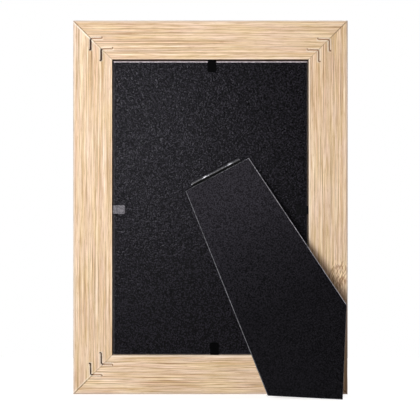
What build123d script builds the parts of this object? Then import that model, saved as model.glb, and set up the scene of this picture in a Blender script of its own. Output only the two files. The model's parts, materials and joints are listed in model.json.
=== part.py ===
from build123d import *
from math import cos, radians, sin
import os

os.makedirs("parts", exist_ok=True)

# Bay for a 10 x 15 cm print, and the moulding round it
bay_width = 103.0
bay_height = 155.0
rail_back_width = 20.5
lip_width = 5.0
moulding_depth = 15.0
back_recess = 1.8
arris_radius = 0.8

# Stack in the bay, from the lip to the back
bay_side_clearance = 0.4
bay_end_clearance = 0.15
glass_thickness = 2.0
insert_thickness = 0.3
lining_thickness = 0.15
backing_core_thickness = 2.35
cover_thickness = 0.2
backing_bevel = 0.5

# Corner nails, two across each mitre. Each pair strays inwards, across the frame and up or down it,
# as seen from behind
nail_arm = 6.0
nail_lip = 1.0
nail_gauge = 0.7
nail_bend_radius = 0.9
nail_lip_radius = 0.5
nail_height = 7.0
nail_sink = 0.8
nail_inset_shares = (0.45, 0.72)
lower_left_nail_rise = 1.1
lower_right_nail_shift = 0.3
lower_right_nail_rise = 0.5
upper_right_nail_shift = 0.5
upper_right_nail_drop = 0.8
upper_left_nail_drop = 0.2

# Bending tabs, each set off from the middle of its rail, clockwise as seen from behind
tab_reach = 6.5
tab_root_width = 4.3
tab_tip_width = 4.9
tab_tip_radius = 0.9
tab_gauge = 0.4
tab_root_depth = 8.0
tab_lift = 0.1
tab_wall_gap = 0.15
tab_bend_gap = 0.03
top_tab_offset = 0.8
right_tab_offset = 1.4
bottom_tab_offset = -2.1
left_tab_offset = -1.1

# Stance: upright on the lower back edge and the leg's foot, or turned onto its right side
lean_angle = 10.0
side_lean_angle = 10.4
leg_angle = 22.0
foot_relief_angle = 2.4
side_foot_relief_angle = 2.0

# Hinge across the back, its middle right of the centre line as seen from behind
hinge_shift = 2.65
hinge_height_share = 0.594
hinge_slant_angle = 27.5
hinge_length = 28.0
pin_diameter = 1.2
pin_overhang = 0.3
pin_clearance = 0.05
knuckle_wall = 0.5
knuckle_gap = 0.15
barrel_lift = 0.3
knuckle_end_shares = (0.0, 0.22, 0.36, 0.71, 0.87, 1.0)
leaf_gauge = 0.5
leaf_lift = 0.1
leaf_corner_radius = 2.0
board_leaf_reach = 11.0
leg_leaf_reach = 14.0
stop_overlap = 1.2
stop_foot_width = 1.3

# Rivets through the backing board, and prongs bitten into the leg
rivet_count = 3
rivet_diameter = 2.0
rivet_head_diameter = 3.6
rivet_head_height = 0.4
rivet_tail_diameter = 3.2
rivet_tail_height = 0.6
prong_width = 1.6
prong_bite = 1.4
prong_grid_shares = (0.66, 0.33)

# Leg board
leg_left_margin = 4.4
leg_right_margin = 4.7
leg_top_gap = 2.75
leg_left_flare_angle = 4.85
leg_right_flare_angle = 4.15
leg_core_thickness = 2.15
leg_bevel = 0.35
leg_lining_inset = 0.5

# One overrun for every cut that passes a face
overrun = 1.0

# Sizes that follow
frame_width = bay_width + 2 * rail_back_width
frame_height = bay_height + 2 * rail_back_width
rail_front_width = rail_back_width + lip_width
pane_width = bay_width - 2 * bay_side_clearance
pane_height = bay_height - 2 * bay_end_clearance

# Levels in the stack, measured out of the rails' back face
back_level = -back_recess
cover_level = back_level - cover_thickness
backing_level = cover_level - backing_core_thickness
lining_level = backing_level - lining_thickness
insert_level = lining_level - insert_thickness
glass_level = insert_level - glass_thickness

pin_radius = pin_diameter / 2
leg_bore_radius = pin_radius + pin_clearance
knuckle_radius = leg_bore_radius + knuckle_wall
knuckle_clear = knuckle_radius + knuckle_gap
axis_lift = barrel_lift + knuckle_radius
axis_level = back_level + axis_lift
leg_leaf_length = hinge_length - 2 * (leaf_gauge + knuckle_gap)

# Levels in the leg, measured out of the hinge axis
leg_leaf_face = leaf_lift + leaf_gauge
leg_core_level = leg_leaf_face + lining_thickness

tab_level = back_level + tab_lift
tab_bend_offset = tab_wall_gap + tab_gauge / 2

lean = radians(lean_angle)
side_lean = radians(side_lean_angle)
opening = radians(leg_angle)


# How far a rounded edge sinks as it leans
def edge_drop(angle):
    return arris_radius * (cos(angle) + sin(angle) - 1)


# The rails' back face: x to the right and y up as seen from behind, z out of the back
def back_at(y):
    origin = (0, y, -edge_drop(lean))
    return Plane(origin=origin, x_dir=(-1, 0, 0), z_dir=(0, cos(lean), -sin(lean)))


def hinge_at(back):
    place = Pos(hinge_shift, hinge_height_share * frame_height, axis_level)
    return Plane(back * place * Rot(0, 0, hinge_slant_angle))


# The opened leg: x along the hinge, y up the leg, z out of its outer face
def leg_at(back):
    return Plane(hinge_at(back) * Rot(-leg_angle, 0, 0))


def axis_on(plane, axis):
    start = plane.to_local_coords(axis.position)
    ahead = plane.to_local_coords(axis.position + axis.direction)
    return Axis(start, ahead - start)


def flared_edge(start, flare):
    return Axis(start, (sin(radians(flare)), -cos(radians(flare)), 0))


def relieved_edge(start, table_edge, relief):
    return Axis(start, table_edge.direction.rotate(Axis.Z, relief))


# The inner face of the leg meets the table in one line, and in another with the frame on its side.
# Each foot touches at its outer corner and is relieved from there, so the frame stands on three points
upright_back = back_at(0)
side_turn = Rot(0, -90 - side_lean_angle, 0)
side_table = Plane(upright_back * Pos(frame_width / 2, 0, 0) * side_turn).offset(edge_drop(side_lean))
foot_face = leg_at(upright_back).offset(leg_core_level)
table_line = axis_on(foot_face, foot_face.intersect(Plane.XY))
side_table_line = axis_on(foot_face, foot_face.intersect(side_table))

leg_top_left = Vector(-hinge_length / 2 - leg_left_margin, -leg_top_gap, 0)
leg_top_right = Vector(hinge_length / 2 + leg_right_margin, -leg_top_gap, 0)
leg_side_right = flared_edge(leg_top_right, leg_right_flare_angle).intersect(side_table_line)
side_foot = relieved_edge(leg_side_right, side_table_line, -side_foot_relief_angle)
leg_foot_right = side_foot.intersect(table_line)
foot = relieved_edge(leg_foot_right, table_line, -foot_relief_angle)
leg_foot_left = flared_edge(leg_top_left, -leg_left_flare_angle).intersect(foot)
leg_corners = (leg_top_left, leg_top_right, leg_side_right, leg_foot_right, leg_foot_left)
leg_outline = [(corner.X, corner.Y) for corner in leg_corners]

# The origin lies on the table, midway between the foremost edge and the foot's far corner
front_reach = (moulding_depth - arris_radius) * cos(lean) - arris_radius * sin(lean) + arris_radius
leg_thickness = leg_core_thickness + cover_thickness
far_corner = foot_face.from_local_coords(leg_foot_right + Vector(0, 0, leg_thickness))
back_plane = back_at((front_reach - far_corner.Y) / 2)
hinge_plane = hinge_at(back_plane)
leg_plane = leg_at(back_plane)
barrel_plane = Plane(hinge_plane.origin, x_dir=hinge_plane.y_dir, z_dir=hinge_plane.x_dir)

# The stack sits on the bottom rail
bay_plane = Plane(back_plane * Pos(0, frame_height / 2 - bay_end_clearance, 0))


# A rail's own plane: y towards its outer edge, x clockwise along it as seen from behind
def side_plane(turns):
    return Plane(back_plane * Pos(0, frame_height / 2, 0) * Rot(0, 0, 90 * turns))


# The sides in quarter turns from the top: name, the rail's length, the span to the opposite outer edge,
# the tab's offset
sides = (
    ("top", frame_width, frame_height, top_tab_offset),
    ("left", frame_height, frame_width, left_tab_offset),
    ("bottom", frame_width, frame_height, bottom_tab_offset),
    ("right", frame_height, frame_width, right_tab_offset),
)

# Corner nail seen from behind, its bend towards the frame's corner
with BuildSketch() as nail_profile:
    with BuildLine():
        FilletPolyline(
            (nail_arm, -nail_lip),
            (nail_arm, 0),
            (0, 0),
            (0, nail_arm),
            (-nail_lip, nail_arm),
            radius=(nail_lip_radius, nail_bend_radius, nail_lip_radius),
        )
    trace(line_width=nail_gauge)

nail_corners = ((-1, -1), (1, -1), (1, 1), (-1, 1))
nail_strays = (
    (0, lower_left_nail_rise),
    (lower_right_nail_shift, lower_right_nail_rise),
    (upper_right_nail_shift, upper_right_nail_drop),
    (0, upper_left_nail_drop),
)
nail_places = []
for share in nail_inset_shares:
    inset = share * rail_back_width
    for turns, (corner, stray) in enumerate(zip(nail_corners, nail_strays)):
        across = corner[0] * (frame_width / 2 - inset - stray[0])
        along = corner[1] * (frame_height / 2 - inset - stray[1])
        nail_places.append(Location((across, frame_height / 2 + along, 0), (0, 0, 90 * turns)))

with BuildPart() as corner_v_nails:
    with BuildSketch(back_plane.offset(-nail_sink)):
        with Locations(*nail_places):
            add(nail_profile.sketch)
    extrude(amount=-nail_height)

corner_v_nails.part.label = "corner_v_nails"
export_step(corner_v_nails.part, "parts/corner_v_nails.step")

# Rails: a mitred bar with rounded arrises, rabbeted behind, slotted for the nails and the tab
for turns, (side, length, span, tab_offset) in enumerate(sides):
    plane = side_plane(turns)
    along = Axis(plane.origin, plane.x_dir)
    outward = Axis(plane.origin, plane.y_dir)
    rearward = Axis(plane.origin, plane.z_dir)
    outer = span / 2
    wall = outer - rail_back_width
    sight = outer - rail_front_width
    with BuildPart() as rail:
        with BuildSketch(plane):
            with BuildLine():
                Polyline(
                    (-length / 2, outer),
                    (length / 2, outer),
                    (length / 2 - rail_front_width, sight),
                    (rail_front_width - length / 2, sight),
                    close=True,
                )
            make_face()
        extrude(amount=-moulding_depth)
        long_edges = rail.edges().filter_by(along).sort_by(outward)
        sight_edge = long_edges[:2].sort_by(rearward)[0]
        fillet([*long_edges[2:], sight_edge], arris_radius)
        with BuildSketch(plane):
            with Locations((0, wall)):
                Rectangle(length, lip_width + overrun, align=(Align.CENTER, Align.MAX))
        extrude(amount=glass_level, mode=Mode.SUBTRACT)
        with BuildSketch(back_plane):
            with Locations(*nail_places):
                add(nail_profile.sketch)
        extrude(amount=-nail_sink - nail_height, mode=Mode.SUBTRACT)
        with BuildSketch(plane.offset(tab_level)):
            with Locations((tab_offset, wall)):
                Rectangle(tab_root_width, tab_root_depth, align=(Align.CENTER, Align.MIN))
        extrude(amount=tab_gauge, mode=Mode.SUBTRACT)
    rail.part.label = "rail_" + side
    export_step(rail.part, "parts/rail_" + side + ".step")

# Roots of the tabs, driven into the rabbet walls
with BuildPart() as tab_roots:
    for turns, (side, length, span, tab_offset) in enumerate(sides):
        wall = span / 2 - rail_back_width
        root_end = wall - tab_bend_offset + tab_gauge / 2 + tab_bend_gap
        with BuildSketch(side_plane(turns).offset(tab_level)):
            with Locations((tab_offset, root_end)):
                root_length = wall + tab_root_depth - root_end
                Rectangle(tab_root_width, root_length, align=(Align.CENTER, Align.MIN))
        extrude(amount=tab_gauge)

tab_roots.part.label = "tab_roots"
export_step(tab_roots.part, "parts/tab_roots.step")

# Tab blades, rounded where they bend
for turns, (side, length, span, tab_offset) in enumerate(sides):
    bend = span / 2 - rail_back_width - tab_bend_offset
    tip = span / 2 - rail_back_width - tab_reach
    plane = Plane(side_plane(turns) * Pos(tab_offset, 0, tab_level))
    start = plane.from_local_coords((-tab_root_width / 2, bend, tab_gauge / 2))
    with BuildPart() as tab:
        with BuildSketch(plane):
            with BuildLine():
                Polyline(
                    (-tab_root_width / 2, bend),
                    (tab_root_width / 2, bend),
                    (tab_tip_width / 2, tip),
                    (-tab_tip_width / 2, tip),
                    close=True,
                )
            blade = make_face()
            fillet(blade.vertices().sort_by(Axis.Y)[:2], tab_tip_radius)
        extrude(amount=tab_gauge)
        with BuildSketch(Plane(start, x_dir=plane.y_dir, z_dir=plane.x_dir)):
            Circle(tab_gauge / 2)
        extrude(amount=tab_root_width)
    tab.part.label = "tab_" + side
    export_step(tab.part, "parts/tab_" + side + ".step")

# Glass and paper insert, laid on the lip
with BuildPart() as glass_pane:
    with BuildSketch(bay_plane.offset(glass_level)):
        Rectangle(pane_width, pane_height)
    extrude(amount=glass_thickness)

glass_pane.part.label = "glass_pane"
export_step(glass_pane.part, "parts/glass_pane.step")

with BuildPart() as photo_insert:
    with BuildSketch(bay_plane.offset(insert_level)):
        Rectangle(pane_width, pane_height)
    extrude(amount=insert_thickness)

photo_insert.part.label = "photo_insert"
export_step(photo_insert.part, "parts/photo_insert.step")

# Rivet row on the board leaf, half way down it
rivet_drop = (board_leaf_reach + knuckle_clear) / 2
rivet_plane = Plane(hinge_plane * Pos(0, -rivet_drop, back_level - axis_level))
rivet_row = GridLocations(hinge_length / rivet_count, 0, rivet_count, 1)
rivet_tail_depth = back_level - lining_level
rivet_tail_plane = rivet_plane.offset(-rivet_tail_depth)

# Backing board: lining, core with a bare bevelled rim, covering paper
with BuildPart() as backing_lining:
    with BuildSketch(bay_plane.offset(lining_level)):
        Rectangle(pane_width, pane_height)
    extrude(amount=lining_thickness)
    with BuildSketch(rivet_tail_plane):
        with rivet_row:
            Circle(rivet_tail_diameter / 2)
    extrude(amount=lining_thickness, mode=Mode.SUBTRACT)

backing_lining.part.label = "backing_lining"
export_step(backing_lining.part, "parts/backing_lining.step")

with BuildPart() as backing_board:
    with BuildSketch(bay_plane.offset(backing_level)):
        Rectangle(pane_width, pane_height)
    extrude(amount=backing_core_thickness)
    board_rear = backing_board.faces().sort_by(Axis(bay_plane.origin, bay_plane.z_dir))[-1]
    chamfer(board_rear.edges(), backing_bevel)
    with BuildSketch(rivet_plane):
        with rivet_row:
            Circle(rivet_diameter / 2)
    extrude(amount=-rivet_tail_depth, mode=Mode.SUBTRACT)
    with BuildSketch(rivet_tail_plane):
        with rivet_row:
            Circle(rivet_tail_diameter / 2)
    extrude(amount=rivet_tail_height, mode=Mode.SUBTRACT)

backing_board.part.label = "backing_board"
export_step(backing_board.part, "parts/backing_board.step")

with BuildPart() as backing_cover:
    with BuildSketch(bay_plane.offset(cover_level)):
        Rectangle(pane_width - 2 * backing_bevel, pane_height - 2 * backing_bevel)
    extrude(amount=cover_thickness)
    with BuildSketch(rivet_plane):
        with rivet_row:
            Circle(rivet_diameter / 2)
    extrude(amount=-cover_thickness, mode=Mode.SUBTRACT)

backing_cover.part.label = "backing_cover"
export_step(backing_cover.part, "parts/backing_cover.step")

# Knuckles along the barrel: the board leaf has the first, third and fifth, the leg leaf the others
knuckle_ends = [(share - 0.5) * hinge_length for share in knuckle_end_shares]
knuckle_spans = list(zip(knuckle_ends, knuckle_ends[1:]))
board_spans = knuckle_spans[0::2]
leg_spans = [(start + knuckle_gap, end - knuckle_gap) for start, end in knuckle_spans[1::2]]


# A leaf's flat outline: a plate below the barrel, with a strap up to each of its knuckles
def draw_leaf(length, reach, spans):
    with Locations((0, -knuckle_clear)):
        plate_height = reach - knuckle_clear
        plate = Rectangle(length, plate_height, align=(Align.CENTER, Align.MAX))
    fillet(plate.vertices().sort_by(Axis.Y)[:2], leaf_corner_radius)
    for start, end in spans:
        strap_start = max(start, -length / 2)
        strap_end = min(end, length / 2)
        with Locations((strap_start, 0)):
            Rectangle(strap_end - strap_start, knuckle_clear, align=(Align.MIN, Align.MAX))


# Place across the barrel of a point down the opened leg and out of it
def across_barrel(down, out):
    return (out * sin(opening) - down * cos(opening), down * sin(opening) + out * cos(opening))


# The opening stop: an ear beside the leg leaf, with a finger over its outer face
stop_near = knuckle_clear
stop_far = leg_top_gap - knuckle_gap
stop_top = leg_leaf_face + leaf_gauge
ear_start = hinge_length / 2 - leaf_gauge
ear_foot = across_barrel(stop_near, 0)[0]

with BuildPart() as hinge_board_leaf:
    with BuildSketch(hinge_plane.offset(-axis_lift)):
        draw_leaf(hinge_length, board_leaf_reach, board_spans)
    extrude(amount=leaf_gauge)
    for start, end in board_spans:
        with BuildSketch(barrel_plane.offset(start)):
            Circle(knuckle_radius)
        extrude(amount=end - start)
    with BuildSketch(barrel_plane.offset(ear_start)):
        with BuildLine():
            Polyline(
                across_barrel(stop_near, stop_top),
                across_barrel(stop_far, stop_top),
                (ear_foot - stop_foot_width, -axis_lift),
                (ear_foot, -axis_lift),
                close=True,
            )
        make_face()
    extrude(amount=leaf_gauge)
    with BuildSketch(leg_plane.offset(leg_leaf_face)):
        with Locations((hinge_length / 2, -stop_near)):
            finger_length = hinge_length / 2 - leg_leaf_length / 2 + stop_overlap
            Rectangle(finger_length, stop_far - stop_near, align=(Align.MAX, Align.MAX))
    extrude(amount=leaf_gauge)
    with BuildSketch(barrel_plane.offset(-hinge_length / 2)):
        Circle(pin_radius)
    extrude(amount=hinge_length, mode=Mode.SUBTRACT)
    with BuildSketch(rivet_plane):
        with rivet_row:
            Circle(rivet_diameter / 2)
    extrude(amount=leaf_gauge, mode=Mode.SUBTRACT)

hinge_board_leaf.part.label = "hinge_board_leaf"
export_step(hinge_board_leaf.part, "parts/hinge_board_leaf.step")

with BuildPart() as hinge_pin:
    with BuildSketch(barrel_plane.offset(-hinge_length / 2 - pin_overhang)):
        Circle(pin_radius)
    extrude(amount=hinge_length + 2 * pin_overhang)
    chamfer(hinge_pin.edges(), pin_overhang / 2)

hinge_pin.part.label = "hinge_pin"
export_step(hinge_pin.part, "parts/hinge_pin.step")

with BuildPart() as hinge_rivets:
    with BuildSketch(rivet_tail_plane):
        with rivet_row:
            Circle(rivet_diameter / 2)
    extrude(amount=rivet_tail_depth + leaf_gauge)
    with BuildSketch(rivet_tail_plane):
        with rivet_row:
            Circle(rivet_tail_diameter / 2)
    extrude(amount=rivet_tail_height)
    with BuildSketch(rivet_plane.offset(leaf_gauge)):
        with rivet_row:
            Circle(rivet_head_diameter / 2)
    extrude(amount=rivet_head_height)
    head_axis = Axis(rivet_plane.origin, rivet_plane.z_dir)
    chamfer(hinge_rivets.edges().group_by(head_axis)[-1], rivet_head_height / 2)

hinge_rivets.part.label = "hinge_rivets"
export_step(hinge_rivets.part, "parts/hinge_rivets.step")

# Prongs on the leg leaf, spread over the part of it that lies under the leg
prong_width_share, prong_height_share = prong_grid_shares
prong_spread = prong_width_share * leg_leaf_length
prong_rise = prong_height_share * leg_leaf_reach
prong_drop = (leg_leaf_reach + leg_top_gap) / 2
prong_plane = Plane(leg_plane * Pos(0, -prong_drop, leg_leaf_face))
prong_grid = GridLocations(prong_spread, prong_rise, 2, 2)
prong_length = lining_thickness + prong_bite

with BuildPart() as hinge_leg_leaf:
    with BuildSketch(leg_plane.offset(leaf_lift)):
        draw_leaf(leg_leaf_length, leg_leaf_reach, leg_spans)
    extrude(amount=leaf_gauge)
    for start, end in leg_spans:
        with BuildSketch(barrel_plane.offset(start)):
            Circle(knuckle_radius)
        extrude(amount=end - start)
    with BuildSketch(barrel_plane.offset(-hinge_length / 2)):
        Circle(leg_bore_radius)
    extrude(amount=hinge_length, mode=Mode.SUBTRACT)
    with BuildSketch(prong_plane):
        with prong_grid:
            Rectangle(prong_width, leaf_gauge)
    extrude(amount=prong_length)

hinge_leg_leaf.part.label = "hinge_leg_leaf"
export_step(hinge_leg_leaf.part, "parts/hinge_leg_leaf.step")


# The leg's outline, drawn in by an even margin
def draw_leg(margin):
    Polygon(*leg_outline, align=None)
    if margin:
        offset(amount=-margin, kind=Kind.INTERSECTION, mode=Mode.REPLACE)


# Leg: lining, core with a bare bevel on all but its two feet, covering paper
with BuildPart() as leg_lining:
    with BuildSketch(leg_plane.offset(leg_leaf_face)):
        draw_leg(leg_lining_inset)
    extrude(amount=lining_thickness)
    with BuildSketch(prong_plane):
        with prong_grid:
            Rectangle(prong_width, leaf_gauge)
    extrude(amount=prong_length, mode=Mode.SUBTRACT)

leg_lining.part.label = "leg_lining"
export_step(leg_lining.part, "parts/leg_lining.step")

with BuildPart() as leg_board:
    with BuildSketch(leg_plane.offset(leg_core_level)):
        draw_leg(0)
    extrude(amount=leg_core_thickness)
    out_of_leg = Axis(leg_plane.origin, leg_plane.z_dir)
    up_leg = Axis(leg_plane.origin, leg_plane.y_dir)
    leg_rear = leg_board.faces().sort_by(out_of_leg)[-1]
    chamfer(leg_rear.edges().sort_by(up_leg)[2:], leg_bevel)
    leg_rear = leg_board.faces().sort_by(out_of_leg)[-1]
    with BuildSketch(prong_plane):
        with prong_grid:
            Rectangle(prong_width, leaf_gauge)
    extrude(amount=prong_length, mode=Mode.SUBTRACT)

leg_board.part.label = "leg_board"
export_step(leg_board.part, "parts/leg_board.step")

with BuildPart() as leg_cover:
    extrude(leg_rear, amount=cover_thickness)

leg_cover.part.label = "leg_cover"
export_step(leg_cover.part, "parts/leg_cover.step")
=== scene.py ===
import json
import math

import bmesh
import bpy
from mathutils import Matrix, Vector

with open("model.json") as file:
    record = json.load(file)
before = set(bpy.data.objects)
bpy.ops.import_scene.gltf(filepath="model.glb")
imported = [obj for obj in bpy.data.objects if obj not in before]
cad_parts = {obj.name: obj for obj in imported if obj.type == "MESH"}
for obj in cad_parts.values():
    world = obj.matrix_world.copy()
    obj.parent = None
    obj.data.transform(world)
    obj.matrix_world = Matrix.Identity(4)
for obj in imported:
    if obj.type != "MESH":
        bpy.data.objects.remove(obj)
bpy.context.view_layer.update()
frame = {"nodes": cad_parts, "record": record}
scene = bpy.context.scene
nodes = frame["nodes"]
print("frame loaded:", len(nodes), "nodes")

# the leaning back: right and up as seen from behind, out towards the viewer
mounts = {m["name"]: m for m in frame["record"]["mounts"]}
backSet = {"width": 0.144, "height": 0.196, "depth": 0.015, "rail": 0.0205}
up = -Vector(mounts["bottom_edge"]["axis"]).normalized()
out = -Vector(mounts["front_face"]["axis"]).normalized()
right = up.cross(out)
backOrigin = Vector(mounts["bottom_edge"]["pos_m"]) + out * backSet["depth"] / 2
halfWide, halfTall = backSet["width"] / 2, backSet["height"] / 2
bayTop = (backSet["height"] - backSet["rail"]) * 1000  # in millimetres, as the patterns are
inMetres, inMm = 1.0, 0.001
pureWhite = (1.0, 1.0, 1.0, 1.0)
noiseSpan = (0.3, 0.7)  # where most of a noise lies


def onBack(u, v, w=0.0):
    return backOrigin + right * u + up * v + out * w


def turnOf(x, y, z):
    return Matrix((x, y, z)).transposed()


mid = onBack(0.0, halfTall)
alongTurn = turnOf(right, up, out)


def linear(r, g, b):
    def one(c):
        c = c / 255
        return c / 12.92 if c < 0.04045 else ((c + 0.055) / 1.055) ** 2.4
    return (one(r), one(g), one(b), 1.0)


# small node helpers
def startMaterial(name):
    mat = bpy.data.materials.new(name)
    mat.use_nodes = True
    tree = mat.node_tree
    shader = tree.nodes["Principled BSDF"]
    return mat, tree, shader


def addNode(tree, kind, **settings):
    node = tree.nodes.new(kind)
    for key, value in settings.items():
        setattr(node, key, value)
    return node


def feed(tree, source, socket):
    if hasattr(source, "is_output"):
        tree.links.new(source, socket)
    else:
        socket.default_value = source


def patternAt(tree, turn, origin, size):  # pattern space: turned, centred, one unit is one size
    coord = addNode(tree, "ShaderNodeTexCoord")
    place = addNode(tree, "ShaderNodeMapping", vector_type="TEXTURE")
    place.inputs["Location"].default_value = origin
    place.inputs["Rotation"].default_value = turn.to_euler()
    place.inputs["Scale"].default_value = size if hasattr(size, "__len__") else (size, size, size)
    tree.links.new(coord.outputs["Object"], place.inputs["Vector"])
    return place.outputs["Vector"]


def axesOf(tree, vector):
    node = addNode(tree, "ShaderNodeSeparateXYZ")
    tree.links.new(vector, node.inputs[0])
    return node.outputs["X"], node.outputs["Y"], node.outputs["Z"]


def lengthOf(tree, vector):
    node = addNode(tree, "ShaderNodeVectorMath", operation="LENGTH")
    tree.links.new(vector, node.inputs[0])
    return node.outputs["Value"]


def noise(tree, vector, detail=2.0, rough=0.5, scale=1.0):
    node = addNode(tree, "ShaderNodeTexNoise")
    tree.links.new(vector, node.inputs["Vector"])
    node.inputs["Scale"].default_value = scale
    node.inputs["Detail"].default_value = detail
    node.inputs["Roughness"].default_value = rough
    return node.outputs["Fac"]


def roundCells(tree, vector, smooth):
    node = addNode(tree, "ShaderNodeTexVoronoi", feature="SMOOTH_F1")
    tree.links.new(vector, node.inputs["Vector"])
    node.inputs["Scale"].default_value = 1.0
    node.inputs["Smoothness"].default_value = smooth
    return node.outputs["Distance"]


def ramp(tree, source, places, colours):
    node = addNode(tree, "ShaderNodeValToRGB")
    band = node.color_ramp.elements
    while len(band) < len(places):
        band.new(0.5)
    for element, place, colour in zip(band, places, colours):
        element.position = place
        element.color = colour if hasattr(colour, "__len__") else (colour, colour, colour, 1.0)
    tree.links.new(source, node.inputs["Fac"])
    return node.outputs["Color"]


def blendColours(tree, amount, first, second, mode="MIX"):
    node = addNode(tree, "ShaderNodeMix", data_type="RGBA", blend_type=mode)
    feed(tree, amount, node.inputs["Factor"])
    feed(tree, first, node.inputs[6])
    feed(tree, second, node.inputs[7])
    return node.outputs[2]


def maths(tree, operation, first, second=0.0):
    node = addNode(tree, "ShaderNodeMath", operation=operation)
    feed(tree, first, node.inputs[0])
    feed(tree, second, node.inputs[1])
    return node.outputs[0]


def times(tree, first, *others):
    for other in others:
        first = maths(tree, "MULTIPLY", first, other)
    return first


def apart(tree, value, middle):
    return maths(tree, "ABSOLUTE", maths(tree, "SUBTRACT", value, middle))


def between(tree, value, low, high, toLow=0.0, toHigh=1.0):
    node = addNode(tree, "ShaderNodeMapRange")
    feed(tree, value, node.inputs["Value"])
    for name, number in (("From Min", low), ("From Max", high), ("To Min", toLow), ("To Max", toHigh)):
        node.inputs[name].default_value = number
    return node.outputs["Result"]


def fading(tree, value, full, gone):  # 1 up to full, 0 from gone
    return between(tree, value, full, gone, 1.0, 0.0)


def bump(tree, shader, height, strength, distance):
    node = addNode(tree, "ShaderNodeBump")
    node.inputs["Strength"].default_value = strength
    node.inputs["Distance"].default_value = distance
    tree.links.new(height, node.inputs["Height"])
    tree.links.new(node.outputs["Normal"], shader.inputs["Normal"])


def dress(name, mat):
    data = nodes[name].data
    data.materials.clear()
    data.materials.append(mat)


# pale fine-grained wood, grain along each rail: a pattern's length, width and depth in metres
oakSet = {
    "tan": linear(214, 178, 136),
    "plain": linear(236, 209, 175),
    "cream": linear(250, 229, 201),
    "pink": linear(240, 207, 186),
    "straw": linear(234, 205, 152),
    "darkLine": (0.52, 0.43, 0.33, 1.0),
    "darkDash": (0.76, 0.69, 0.59, 1.0),
    "paleLine": (1.09, 1.12, 1.18, 1.0),
    "restLine": 0.98,
    "band": (0.060, 0.0012, 0.0012),
    "bandStops": (0.33, 0.50, 0.67),
    "hue": (0.022, 0.0034, 0.0034),
    "hueStops": (0.36, 0.64),
    "hueShare": 0.35,
    "line": (0.060, 0.00027, 0.00027),
    "lineStops": (0.34, 0.47, 0.62),
    "dash": (0.012, 0.00027, 0.00027),
    "dashStops": (0.34, 0.50, 0.64),
    "pore": (0.0045, 0.00020, 0.00020),
    "poreStops": (0.62, 0.70),
    "rough": (0.64, 0.5),
    "gloss": 0.25,
    "bump": (0.3, 0.0002),
}
# turn: along, inwards; middle of the outer edge; half length in millimetres; shift of the grain in metres,
# stretch of its long lines; stray of the nails at each end, inwards and along, in millimetres;
# how bruised, at each end; painted highlight on the inner arris; painted shade on the rabbet wall; torn
# fibres at each end
railSet = {
    "top": {
        "turn": turnOf(right, -up, -out), "middle": mid + up * halfTall, "half": 72.0,
        "shift": 0.31, "long": 1.6, "stray": ((0.2, 0.0), (0.8, 0.5)), "bruise": (0.0, 0.1),
        "pale": 0.15, "rabbetShade": 1.0,
    },
    "bottom": {
        "turn": turnOf(right, up, out), "middle": mid - up * halfTall, "half": 72.0,
        "shift": -0.47, "long": 0.6, "stray": ((1.1, 0.0), (0.5, 0.3)), "bruise": (0.0, 0.1),
        "pale": 0.50, "rabbetShade": 0.0,
    },
    "left": {
        "turn": turnOf(up, right, -out), "middle": mid - right * halfWide, "half": 98.0,
        "shift": 0.83, "long": 1.0, "stray": ((0.0, 1.1), (0.0, 0.2)), "bruise": (0.25, 0.75),
        "pale": 0.0, "rabbetShade": 1.0, "fibres": (0.5, 1.0),
    },
    "right": {
        "turn": turnOf(up, -right, out), "middle": mid + right * halfWide, "half": 98.0,
        "shift": -0.56, "long": 1.0, "stray": ((0.3, 0.5), (0.5, 0.8)), "bruise": (0.1, 0.2),
        "pale": 0.45, "rabbetShade": 0.4,
    },
}


def addGrain(tree, rail):
    origin = rail["middle"] + rail["turn"].col[0] * rail["shift"]

    def grain(name, detail, stretch=1.0):
        length, wide, deep = oakSet[name]
        space = patternAt(tree, rail["turn"], origin, (length * stretch, wide, deep))
        return noise(tree, space, detail=detail)

    band, line = grain("band", 3, rail["long"]), grain("line", 1, rail["long"])
    dash, hue, pore = grain("dash", 1), grain("hue", 2), grain("pore", 1)
    body = ramp(tree, band, oakSet["bandStops"], (oakSet["tan"], oakSet["plain"], oakSet["cream"]))
    tint = ramp(tree, hue, oakSet["hueStops"], (oakSet["straw"], oakSet["pink"]))
    body = blendColours(tree, oakSet["hueShare"], body, tint)
    lineTones = (oakSet["darkLine"], oakSet["restLine"], oakSet["paleLine"])
    lines = ramp(tree, line, oakSet["lineStops"], lineTones)
    dashes = ramp(tree, dash, oakSet["dashStops"], (oakSet["darkDash"], 1.0, oakSet["paleLine"]))
    pores = ramp(tree, pore, oakSet["poreStops"], (1.0, oakSet["darkDash"]))
    for shade in (lines, dashes, pores):
        body = blendColours(tree, 1.0, body, shade, "MULTIPLY")
    return body, dash, pores


# curly grain in one place, short strokes that cross
curlSet = {
    "side": "right",
    "place": (-0.036, 0.0045),
    "reach": (0.0100, 0.0072, 0.03),
    "fade": (0.5, 1.0),
    "stroke": (0.0058, 0.0009, 0.0009),
    "lean": (17.0, -23.0),
    "pale": linear(250, 226, 184),
    "paleStroke": (0.55, 0.62, 0.0, 0.8),
    "brown": linear(158, 116, 78),
    "brownStroke": (0.38, 0.45, 0.75, 0.0),
}


def addCurl(tree, rail, body):
    turn = rail["turn"]
    centre = rail["middle"] + turn.col[0] * curlSet["place"][0] + turn.col[1] * curlSet["place"][1]
    away = lengthOf(tree, patternAt(tree, turn, centre, curlSet["reach"]))
    within = fading(tree, away, *curlSet["fade"])
    for lean in curlSet["lean"]:
        leant = turn @ Matrix.Rotation(math.radians(lean), 3, "Z")
        stroke = noise(tree, patternAt(tree, leant, centre, curlSet["stroke"]), detail=1)
        pale = between(tree, stroke, *curlSet["paleStroke"])
        brown = between(tree, stroke, *curlSet["brownStroke"])
        body = blendColours(tree, times(tree, brown, within), body, curlSet["brown"])
        body = blendColours(tree, times(tree, pale, within), body, curlSet["pale"])
    return body
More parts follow.
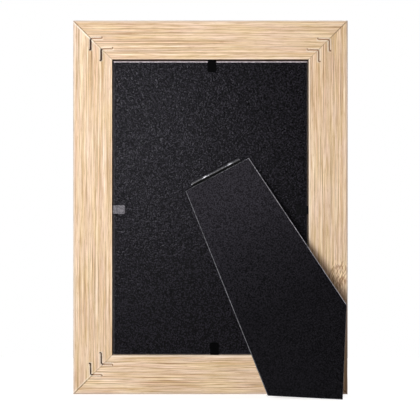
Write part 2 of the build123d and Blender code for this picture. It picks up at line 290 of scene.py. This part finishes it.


# wear at the nails and mitres; at the edges a painted highlight on the inner arris, a greyed outer arris
# and painted shade on the rabbet wall; in millimetres; "face" is how deep it goes from the back
wearAndShadeSet = {
    "crushedAndLit": linear(253, 243, 226),
    "bruised": linear(70, 42, 26),
    "greyed": linear(226, 214, 205),
    "rabbet": linear(58, 37, 25),
    "gap": (0.36, 0.29, 0.22, 1.0),
    "face": (0.9, 1.2),
    "ends": (-1.0, 1.0),
    "nails": (9.225, 14.76),
    "nearEnd": 0.8,
    "arm": 6.0,
    "farEnd": 0.9,
    "scar": (0.35, 1.3),
    "scarRag": (0.35, 0.6, 0.25, 0.95),
    "bruise": (0.45, 0.85),
    "tornAndLit": (0.36, 0.52, 0.2, 1.0),
    "fibreStart": (0.18, 0.26),
    "fibreEnd": (0.50, 0.75),
    "fibreDepth": (8.0, 15.0, 1.0, 0.15),
    "seam": (0.0, 0.12, 0.24),
    "seamDepth": (6.0, 11.0, 1.0, 0.45),
    "edge": 20.5,
    "inner": (-0.9, -0.5),
    "outer": (0.5, 1.3, 0.45, 0.0),
    "rabbetShadeEdge": (-0.08, -0.03),
    "rabbetDepth": 6.8,
    "rabbetShadeDepth": (-0.3, -0.1),
}


def addNailMarks(tree, rail, body, along, depth, toEnd, onFace, rag):
    (lowIn, lowAlong), (highIn, highAlong) = rail["stray"]
    nailDepth = maths(tree, "SUBTRACT", depth, between(tree, along, *wearAndShadeSet["ends"], lowIn, highIn))
    nailEnd = maths(tree, "SUBTRACT", toEnd, between(tree, along, *wearAndShadeSet["ends"], lowAlong, highAlong))
    scars, bruises = [], []
    for inset in wearAndShadeSet["nails"]:
        off = apart(tree, nailDepth, inset)
        armEnd = inset + wearAndShadeSet["arm"]
        reach = times(tree, between(tree, nailEnd, inset - wearAndShadeSet["nearEnd"], inset),
                      fading(tree, nailEnd, armEnd, armEnd + wearAndShadeSet["farEnd"]))
        scars.append(times(tree, fading(tree, off, *wearAndShadeSet["scar"]), reach))
        bruises.append(times(tree, fading(tree, off, *wearAndShadeSet["bruise"]), reach))
    scar = times(tree, maths(tree, "MAXIMUM", *scars), onFace, between(tree, rag, *wearAndShadeSet["scarRag"]))
    body = blendColours(tree, scar, body, wearAndShadeSet["crushedAndLit"])
    bruised = between(tree, along, *wearAndShadeSet["ends"], *rail["bruise"])
    bruise = times(tree, maths(tree, "MAXIMUM", *bruises), onFace, bruised)
    return blendColours(tree, bruise, body, wearAndShadeSet["bruised"])


def addMitre(tree, rail, body, along, depth, toEnd, onFace, rag):
    seam = maths(tree, "MULTIPLY", maths(tree, "SUBTRACT", toEnd, depth), 0.5)
    tornAndLit = between(tree, rag, *wearAndShadeSet["tornAndLit"])
    if "fibres" in rail:  # torn pale fibres beside the seam
        pale = between(tree, seam, *wearAndShadeSet["fibreStart"])
        pale = times(tree, pale, fading(tree, seam, *wearAndShadeSet["fibreEnd"]), onFace)
        pale = times(tree, pale, between(tree, along, *wearAndShadeSet["ends"], *rail["fibres"]))
        pale = times(tree, pale, between(tree, depth, *wearAndShadeSet["fibreDepth"]), tornAndLit)
        body = blendColours(tree, pale, body, wearAndShadeSet["crushedAndLit"])
    gap = ramp(tree, seam, wearAndShadeSet["seam"], (wearAndShadeSet["gap"], wearAndShadeSet["gap"], 1.0))
    seamed = blendColours(tree, 1.0, body, gap, "MULTIPLY")
    body = blendColours(tree, times(tree, tornAndLit, between(tree, depth, *wearAndShadeSet["seamDepth"])), body, seamed)
    return body, gap


# painted highlight on the inner arris, greyed outer arris, painted shade on the rabbet wall
def addEdges(tree, rail, body, depth, level, onFace):
    edge, rabbet = wearAndShadeSet["edge"], wearAndShadeSet["rabbetDepth"]
    # painted highlight on the inner arris, strongest on the bottom and right rails
    inner = between(tree, depth, *(edge + step for step in wearAndShadeSet["inner"]), 0.0, rail["pale"])
    body = blendColours(tree, times(tree, inner, onFace), body, wearAndShadeSet["crushedAndLit"])
    outer = between(tree, depth, *wearAndShadeSet["outer"])
    body = blendColours(tree, times(tree, outer, onFace), body, wearAndShadeSet["greyed"])
    # painted shade on the rabbet wall, darkest on the top and left rails
    rabbetShade = between(tree, depth, *(edge + step for step in wearAndShadeSet["rabbetShadeEdge"]), 0.0, rail["rabbetShade"])
    rabbetShade = times(tree, rabbetShade, fading(tree, level, *(rabbet + step for step in wearAndShadeSet["rabbetShadeDepth"])))
    return blendColours(tree, rabbetShade, body, wearAndShadeSet["rabbet"])


def makeOak(side):
    rail = railSet[side]
    mat, tree, shader = startMaterial("oak" + side.capitalize())
    flat = patternAt(tree, rail["turn"], rail["middle"], inMm)
    along, depth, below = axesOf(tree, flat)
    level = maths(tree, "ABSOLUTE", below)  # from the back face
    toEnd = maths(tree, "SUBTRACT", rail["half"], maths(tree, "ABSOLUTE", along))
    onFace = fading(tree, level, *wearAndShadeSet["face"])
    rag = noise(tree, flat, detail=3, rough=0.7, scale=1.4)
    body, dash, pores = addGrain(tree, rail)
    if side == curlSet["side"]:
        body = addCurl(tree, rail, body)
    body = addNailMarks(tree, rail, body, along, depth, toEnd, onFace, rag)
    body, gap = addMitre(tree, rail, body, along, depth, toEnd, onFace, rag)
    body = addEdges(tree, rail, body, depth, level, onFace)
    tree.links.new(body, shader.inputs["Base Color"])
    tree.links.new(between(tree, dash, *noiseSpan, *oakSet["rough"]), shader.inputs["Roughness"])
    shader.inputs["Specular IOR Level"].default_value = oakSet["gloss"]
    bump(tree, shader, times(tree, dash, pores, gap), *oakSet["bump"])
    return mat


for side in railSet:
    dress("rail_" + side, makeOak(side))
print("rails in pale oak")

# black pebbled covering paper; the leg's paper is painted lighter towards the hinge and darker towards the
# foot, a painted gradient of light
coverSet = {
    "tint": (0.90, 0.88, 1.0, 1.0),
    "back": {
        "pebble": 0.0008, "low": linear(1, 1, 1), "high": linear(33, 31, 37), "spread": (0.71, 0.84),
        "glint": (0.46, 0.54), "rough": (0.27, 0.52), "gloss": 0.061, "bump": 0.45,
    },
    "leg": {
        "pebble": 0.00066, "low": linear(5, 5, 6), "high": linear(26, 25, 29), "spread": (0.62, 1.0),
        "glint": (0.40, 0.60), "rough": (0.44, 0.58), "gloss": 0.02, "bump": 0.4,
    },
    "pebbleSmooth": 0.4,
    "pebbleShare": 0.7,
    "calm": linear(16, 15, 17),
    "calmReach": (0.1, 0.6, 0.25, 0.0),
    # painted light on the leg: multipliers from the hinge down to the foot
    "wearAndShading": (4.8, 4.2, 2.2, 1.05, 0.72),
    "legLightStops": (0.0, 0.16, 0.40, 0.62, 1.0),
    # painted highlight colours for the pale top edge of the backing cover
    "tornAndLit": (linear(150, 142, 146), linear(214, 206, 210)),
    "litEdgeStops": (0.38, 0.6),
    "litEdge": (bayTop - 1.3, bayTop - 1.2),
    "bumpDepth": 0.0003,
}
# the open leg's own directions
legSet = {"angle": 22.0, "length": 0.128}
hinge = next(j for j in frame["record"]["behaviour"]["joints"] if j["name"] == "leg_fold")
hingePlace, hingeAxis = Vector(hinge["pos_m"]), Vector(hinge["axis"]).normalized()
legOut = Matrix.Rotation(-math.radians(legSet["angle"]), 3, hingeAxis) @ out
legUp = legOut.cross(hingeAxis)
legTurn = turnOf(hingeAxis, legUp, legOut)


def makeCover(name, side, turn, origin, onLeg=False):
    mat, tree, shader = startMaterial(name)
    space = patternAt(tree, turn, origin, side["pebble"])
    pebble = roundCells(tree, space, coverSet["pebbleSmooth"])
    mottle = noise(tree, space, detail=3, rough=0.6, scale=0.45)
    fleck = noise(tree, space, detail=2, rough=0.6, scale=1.15)
    both = maths(tree, "ADD", maths(tree, "MULTIPLY", pebble, coverSet["pebbleShare"]), fleck)
    tone = ramp(tree, both, side["spread"], (side["high"], side["low"]))
    if onLeg:
        upLeg = axesOf(tree, patternAt(tree, turn, origin, legSet["length"]))[1]
        down = maths(tree, "MULTIPLY", upLeg, -1.0)
        tone = blendColours(tree, between(tree, down, *coverSet["calmReach"]), tone, coverSet["calm"])
        # painted light: lighter towards the hinge, darker towards the foot
        wearAndShading = ramp(tree, down, coverSet["legLightStops"], coverSet["wearAndShading"])
        tone = blendColours(tree, 1.0, tone, wearAndShading, "MULTIPLY")
    else:  # painted highlight: a pale strip along the top edge, where the rim catches the light
        upBack = axesOf(tree, patternAt(tree, turn, origin, inMm))[1]
        tornAndLit = ramp(tree, mottle, coverSet["litEdgeStops"], coverSet["tornAndLit"])
        tone = blendColours(tree, between(tree, upBack, *coverSet["litEdge"]), tone, tornAndLit)
    tree.links.new(tone, shader.inputs["Base Color"])
    tree.links.new(between(tree, fleck, *side["glint"], *side["rough"]), shader.inputs["Roughness"])
    shader.inputs["Specular IOR Level"].default_value = side["gloss"]
    shader.inputs["Specular Tint"].default_value = coverSet["tint"]
    bump(tree, shader, maths(tree, "SUBTRACT", mottle, pebble), side["bump"], coverSet["bumpDepth"])
    return mat


dress("backing_cover", makeCover("backCover", coverSet["back"], alongTurn, backOrigin))
dress("leg_cover", makeCover("legCover", coverSet["leg"], legTurn, hingePlace, onLeg=True))

# grey board core at the cut edges; on the back's board the sides and foot are painted dark, a painted
# shade, and the top edge pale, a painted highlight
boardSet = {
    "pale": (linear(150, 142, 146), linear(214, 206, 210)),
    "shadedSides": (linear(52, 50, 54), linear(104, 101, 106)),
    "cut": (linear(92, 93, 98), linear(190, 192, 200)),
    "stops": (0.32, 0.66),
    # painted light on the leg board's rims, by side
    "paintedLight": (0.50, 1.0, 1.3),
    "paintedLightStops": (0.46, 0.50, 0.54),
    "fibre": 0.0013,
    "topEdge": (bayTop - 1.2, bayTop - 1.0),
    # painted shadow of the top rail on the board's top edge
    "railShadow": linear(92, 62, 42),
    "railShadowEdge": (bayTop - 0.55, bayTop - 0.45),
    "rough": 0.9,
    "gloss": 0.15,
    "bump": (0.5, 0.0002),
}


def makeBoard(name, tones, onLeg=False):
    mat, tree, shader = startMaterial(name)
    fibre = noise(tree, patternAt(tree, alongTurn, backOrigin, boardSet["fibre"]), detail=4, rough=0.65)
    tone = ramp(tree, fibre, boardSet["stops"], tones)
    if onLeg:  # painted light: darker along the left side, paler along the right side
        corner = hingePlace - hingeAxis * legSet["length"] / 2
        across = axesOf(tree, patternAt(tree, legTurn, corner, legSet["length"]))[0]
        paintedLight = ramp(tree, across, boardSet["paintedLightStops"], boardSet["paintedLight"])
        tone = blendColours(tree, 1.0, tone, paintedLight, "MULTIPLY")
    else:  # painted highlight along the top, painted shadow of the rail at its very top
        upBack = axesOf(tree, patternAt(tree, alongTurn, backOrigin, inMm))[1]
        pale = ramp(tree, fibre, boardSet["stops"], boardSet["pale"])
        # painted highlight on the top edge
        tone = blendColours(tree, between(tree, upBack, *boardSet["topEdge"]), tone, pale)
        # painted shadow of the rail
        tone = blendColours(tree, between(tree, upBack, *boardSet["railShadowEdge"]), tone, boardSet["railShadow"])
    tree.links.new(tone, shader.inputs["Base Color"])
    shader.inputs["Roughness"].default_value = boardSet["rough"]
    shader.inputs["Specular IOR Level"].default_value = boardSet["gloss"]
    bump(tree, shader, fibre, *boardSet["bump"])
    return mat


dress("backing_board", makeBoard("backBoard", boardSet["shadedSides"]))
dress("leg_board", makeBoard("legBoard", boardSet["cut"], onLeg=True))

# lining paper, insert paper
paperSet = {
    "lining": (linear(52, 51, 54), linear(66, 65, 68)),
    "insert": (linear(238, 234, 224), linear(246, 243, 236)),
    "fibre": 0.0007,
    "stops": (0.35, 0.65),
    "rough": (0.75, 0.9),
    "bump": (0.3, 0.0001),
}


def makePaper(name, tones):
    mat, tree, shader = startMaterial(name)
    fibre = noise(tree, patternAt(tree, alongTurn, backOrigin, paperSet["fibre"]), detail=5, rough=0.7)
    tree.links.new(ramp(tree, fibre, paperSet["stops"], tones), shader.inputs["Base Color"])
    tree.links.new(between(tree, fibre, *noiseSpan, *paperSet["rough"]), shader.inputs["Roughness"])
    bump(tree, shader, fibre, *paperSet["bump"])
    return mat


lining = makePaper("liningPaper", paperSet["lining"])
dress("backing_lining", lining)
dress("leg_lining", lining)
dress("photo_insert", makePaper("insertPaper", paperSet["insert"]))
print("boards and papers dressed")

# steels: hinge with painted highlights on its barrel, uncoated steel pin and rivets, black tabs, the left
# one with a painted reflection and the right one painted a little lighter, brown nails
steelSet = {
    # the leaves' grey tones show only on the barrel's crown, as its painted highlight, lighter on the leg
    # leaf
    "board": {
        "base": linear(68, 68, 72), "wearAndShading": linear(132, 132, 138), "wear": 0.60,
        "rough": (0.34, 0.48), "metal": 0.0, "gloss": 0.3,
    },
    "leg": {
        "base": linear(84, 84, 90), "wearAndShading": linear(176, 176, 182), "wear": 0.54,
        "rough": (0.26, 0.40), "metal": 0.5, "gloss": 0.3,
    },
    "pin": {
        "base": linear(120, 120, 124), "wearAndShading": linear(176, 176, 180), "wear": 0.5,
        "rough": (0.25, 0.4), "metal": 1.0, "gloss": 0.3,
    },
    "tab": {
        "base": linear(5, 5, 6), "wearAndShading": linear(28, 28, 31), "wear": 0.70,
        "rough": (0.44, 0.58), "metal": 0.0, "gloss": 0.01,
    },
    # painted reflection: the left tab's lighter grey stands in for the light its face reflects
    "paintedLight": {
        "base": linear(84, 82, 88), "wearAndShading": linear(120, 118, 124), "wear": 0.50,
        "rough": (0.42, 0.55), "metal": 0.0, "gloss": 0.12,
    },
    # painted light: the right tab is the same black steel, painted a little lighter for the light it
    # catches
    "dull": {
        "base": linear(13, 13, 15), "wearAndShading": linear(30, 30, 33), "wear": 0.56,
        "rough": (0.44, 0.58), "metal": 0.0, "gloss": 0.03,
    },
    "nail": {
        "base": linear(58, 34, 22), "wearAndShading": linear(92, 62, 44), "wear": 0.56,
        "rough": (0.6, 0.75), "metal": 0.0, "gloss": 0.0,
    },
    "grain": 0.0011,
    "wearFade": 0.05,
    "bump": (0.15, 0.00008),
}
# on the hinge, in millimetres from its axis: the barrel, the painted highlight along its crown, the
# painted glints along it
barrelSet = {
    "plate": linear(5, 5, 6),
    "bare": linear(196, 196, 201),
    "barrel": (1.20, 1.30),
    "crown": 0.1,
    "crownReach": (0.35, 0.6),
    "spots": (-6.0, 8.5),
    "spotReach": (0.3, 1.3),
}
# wood dust on the nails' arms in the top and bottom rails, and on the right, in metres
dustSet = {
    "colour": linear(196, 156, 120),
    "lying": (0.0, 0.0005, 0.0, 0.75),
    "right": (-0.02, 0.02, 0.0, 0.5),
}


def paintBarrelHighlights(tree, tone):  # painted highlight along the barrel's crown and painted glints on it; the leaves keep their black paint
    alongPin, upLeg, outLeg = axesOf(tree, patternAt(tree, legTurn, hingePlace, inMm))
    ring = addNode(tree, "ShaderNodeCombineXYZ")
    tree.links.new(upLeg, ring.inputs["Y"])
    tree.links.new(outLeg, ring.inputs["Z"])
    crown = fading(tree, lengthOf(tree, ring.outputs[0]), *barrelSet["barrel"])
    off = apart(tree, upLeg, barrelSet["crown"])
    crown = times(tree, crown, fading(tree, off, *barrelSet["crownReach"]))
    for place in barrelSet["spots"]:
        spot = fading(tree, apart(tree, alongPin, place), *barrelSet["spotReach"])
        tone = blendColours(tree, spot, tone, barrelSet["bare"])
    return blendColours(tree, crown, barrelSet["plate"], tone), crown


def dustNails(tree, tone):
    across, upBack, _ = axesOf(tree, patternAt(tree, alongTurn, mid, inMetres))
    side = maths(tree, "SUBTRACT", halfWide, maths(tree, "ABSOLUTE", across))
    end = maths(tree, "SUBTRACT", halfTall, maths(tree, "ABSOLUTE", upBack))
    lying = between(tree, maths(tree, "SUBTRACT", side, end), *dustSet["lying"])
    dusty = maths(tree, "MAXIMUM", lying, between(tree, across, *dustSet["right"]))
    return blendColours(tree, dusty, tone, dustSet["colour"])


def makeSteel(name, tones, hinged=False, nailed=False):
    mat, tree, shader = startMaterial(name)
    grain = noise(tree, patternAt(tree, alongTurn, backOrigin, steelSet["grain"]), detail=5, rough=0.65)
    wearAndShading = between(tree, grain, tones["wear"] - steelSet["wearFade"], tones["wear"] + steelSet["wearFade"])
    tone = blendColours(tree, wearAndShading, tones["base"], tones["wearAndShading"])
    if hinged:
        tone, crown = paintBarrelHighlights(tree, tone)
        tree.links.new(maths(tree, "MULTIPLY", crown, tones["metal"]), shader.inputs["Metallic"])
    else:
        shader.inputs["Metallic"].default_value = tones["metal"]
    if nailed:
        tone = dustNails(tree, tone)
    tree.links.new(tone, shader.inputs["Base Color"])
    tree.links.new(between(tree, grain, *noiseSpan, *tones["rough"]), shader.inputs["Roughness"])
    shader.inputs["Specular IOR Level"].default_value = tones["gloss"]
    bump(tree, shader, grain, *steelSet["bump"])
    return mat


dress("hinge_board_leaf", makeSteel("hingeBoardLeaf", steelSet["board"], hinged=True))
dress("hinge_leg_leaf", makeSteel("hingeLegLeaf", steelSet["leg"], hinged=True))
pin = makeSteel("pinSteel", steelSet["pin"])
dress("hinge_pin", pin)
dress("hinge_rivets", pin)
tab = makeSteel("tabBlack", steelSet["tab"])
for name in ("tab_roots", "tab_top", "tab_bottom"):
    dress(name, tab)
dress("tab_right", makeSteel("tabPaintedLit", steelSet["dull"]))
dress("tab_left", makeSteel("tabPaintedReflection", steelSet["paintedLight"]))
dress("corner_v_nails", makeSteel("nailSteel", steelSet["nail"], nailed=True))

# clear glass, lets the lamps through to the print
glassSet = {
    "tint": (0.98, 0.995, 0.988, 1.0),
    "smudge": 0.03,
    "smudgeStops": (0.45, 0.8),
    "rough": (0.0, 0.03),
    "bend": 1.5,
    "gap": 0.00002,
}


def makeGlass(name):
    mat, tree, shader = startMaterial(name)
    smudge = noise(tree, patternAt(tree, alongTurn, backOrigin, glassSet["smudge"]), detail=4, rough=0.6)
    smeared = between(tree, smudge, *glassSet["smudgeStops"], *glassSet["rough"])
    tree.links.new(smeared, shader.inputs["Roughness"])
    shader.inputs["Base Color"].default_value = glassSet["tint"]
    shader.inputs["Transmission Weight"].default_value = 1.0
    shader.inputs["IOR"].default_value = glassSet["bend"]
    path = addNode(tree, "ShaderNodeLightPath")
    clear = addNode(tree, "ShaderNodeBsdfTransparent")
    clear.inputs["Color"].default_value = glassSet["tint"]
    passing = maths(tree, "MAXIMUM", path.outputs["Is Shadow Ray"], path.outputs["Is Diffuse Ray"])
    pick = addNode(tree, "ShaderNodeMixShader")
    tree.links.new(passing, pick.inputs[0])
    tree.links.new(shader.outputs[0], pick.inputs[1])
    tree.links.new(clear.outputs[0], pick.inputs[2])
    tree.links.new(pick.outputs[0], tree.nodes["Material Output"].inputs["Surface"])
    return mat


dress("glass_pane", makeGlass("paneGlass"))
airGap = nodes["glass_pane"].modifiers.new("airGap", "DISPLACE")  # a hair clear of the print
airGap.mid_level = 0.0
airGap.strength = -glassSet["gap"]
print("steel and glass dressed")

# white floor that keeps the shadow, pure white away from the frame, dim towards the viewer in reflections
floorSet = {
    "half": 3.0,
    "white": (0.80, 0.80, 0.80, 1.0),
    "rough": 0.9,
    "reach": (0.15, 0.60),
    "lift": (0.72, 1.0),
    "dim": (0.02, 0.25, 1.0, 0.04),
}
shape = bmesh.new()
bmesh.ops.create_grid(shape, x_segments=4, y_segments=4, size=floorSet["half"])
floorMesh = bpy.data.meshes.new("floor")
shape.to_mesh(floorMesh)
shape.free()
floor = bpy.data.objects.new("floor", floorMesh)
scene.collection.objects.link(floor)
mat, tree, shader = startMaterial("floorPaper")
shader.inputs["Base Color"].default_value = floorSet["white"]
shader.inputs["Roughness"].default_value = floorSet["rough"]
shader.inputs["Specular IOR Level"].default_value = 0.0
path = addNode(tree, "ShaderNodeLightPath")
place = addNode(tree, "ShaderNodeTexCoord").outputs["Object"]
behind = between(tree, axesOf(tree, place)[1], *floorSet["dim"])
seen = maths(tree, "MAXIMUM", path.outputs["Is Glossy Ray"], path.outputs["Is Transmission Ray"])
seen = maths(tree, "MAXIMUM", maths(tree, "MULTIPLY", seen, behind), path.outputs["Is Camera Ray"])
glow = addNode(tree, "ShaderNodeEmission")
lift = between(tree, lengthOf(tree, place), *floorSet["reach"], *floorSet["lift"])
tree.links.new(maths(tree, "MULTIPLY", seen, lift), glow.inputs["Strength"])
both = addNode(tree, "ShaderNodeAddShader")
tree.links.new(shader.outputs[0], both.inputs[0])
tree.links.new(glow.outputs[0], both.inputs[1])
tree.links.new(both.outputs[0], tree.nodes["Material Output"].inputs["Surface"])
floorMesh.materials.append(mat)
floor.visible_diffuse = False  # no bounce under the frame

# soft studio light; ambient: behind the frame, in front of it; room: behind the viewer, in reflections
lightSet = {
    "lamps": {
        "key": {"place": (-0.128, 0.190, 0.476), "size": 0.08, "watts": 2.36},
        "front": {"place": (0.30, 0.50, -0.75), "size": 0.40, "watts": 2.0},
    },
    "ambient": (0.14, 0.80),
    "warmth": (1.0, 0.83, 0.76, 1.0),
    "ahead": (0.0, -0.15),
    "room": 0.02,
    "roomEdge": (-0.3, 0.2),
}
for name, lamp in lightSet["lamps"].items():
    data = bpy.data.lights.new(name, "AREA")
    data.shape = "SQUARE"
    data.size = lamp["size"]
    data.energy = lamp["watts"]
    light = bpy.data.objects.new(name, data)
    light.location = onBack(*lamp["place"])
    light.rotation_euler = (mid - light.location).to_track_quat("-Z", "Y").to_euler()
    scene.collection.objects.link(light)

world = bpy.data.worlds.new("studio")
world.use_nodes = True
scene.world = world
tree = world.node_tree
tree.nodes.clear()
path = addNode(tree, "ShaderNodeLightPath")
seen = maths(tree, "MAXIMUM", path.outputs["Is Camera Ray"], path.outputs["Is Glossy Ray"])
seen = maths(tree, "MAXIMUM", seen, path.outputs["Is Transmission Ray"])
toBack = axesOf(tree, addNode(tree, "ShaderNodeTexCoord").outputs["Generated"])[1]
# more soft light on the picture's side, and neutral there
ahead = between(tree, toBack, *lightSet["ahead"])
soft = addNode(tree, "ShaderNodeBackground")
tree.links.new(between(tree, ahead, 0.0, 1.0, *lightSet["ambient"]), soft.inputs["Strength"])
tree.links.new(blendColours(tree, ahead, lightSet["warmth"], pureWhite), soft.inputs["Color"])
# white backdrop, the room behind the viewer is dim in reflections
level = between(tree, toBack, *lightSet["roomEdge"], 1.0, lightSet["room"])
level = maths(tree, "MAXIMUM", level, path.outputs["Is Camera Ray"])
white = addNode(tree, "ShaderNodeBackground")
white.inputs["Color"].default_value = pureWhite
tree.links.new(level, white.inputs["Strength"])
pick = addNode(tree, "ShaderNodeMixShader")
tree.links.new(seen, pick.inputs[0])
tree.links.new(soft.outputs[0], pick.inputs[1])
tree.links.new(white.outputs[0], pick.inputs[2])
end = addNode(tree, "ShaderNodeOutputWorld")
tree.links.new(pick.outputs[0], end.inputs["Surface"])
print("floor and light set")

# camera square on to the back, as the photograph was taken
cameraSet = {
    "aim": (-0.00024, 0.09664),
    "distance": 0.425,
    "view": 0.220,
    "sensor": 36.0,
    "nearest": 0.01,
}
data = bpy.data.cameras.new("viewer")
data.sensor_width = cameraSet["sensor"]
data.lens = data.sensor_width * cameraSet["distance"] / cameraSet["view"]
data.clip_start = cameraSet["nearest"]
camera = bpy.data.objects.new("viewer", data)
stand = Matrix.Translation(onBack(*cameraSet["aim"], cameraSet["distance"]))
camera.matrix_world = stand @ alongTurn.to_4x4()
scene.collection.objects.link(camera)
scene.camera = camera
scene.view_settings.view_transform = "Standard"
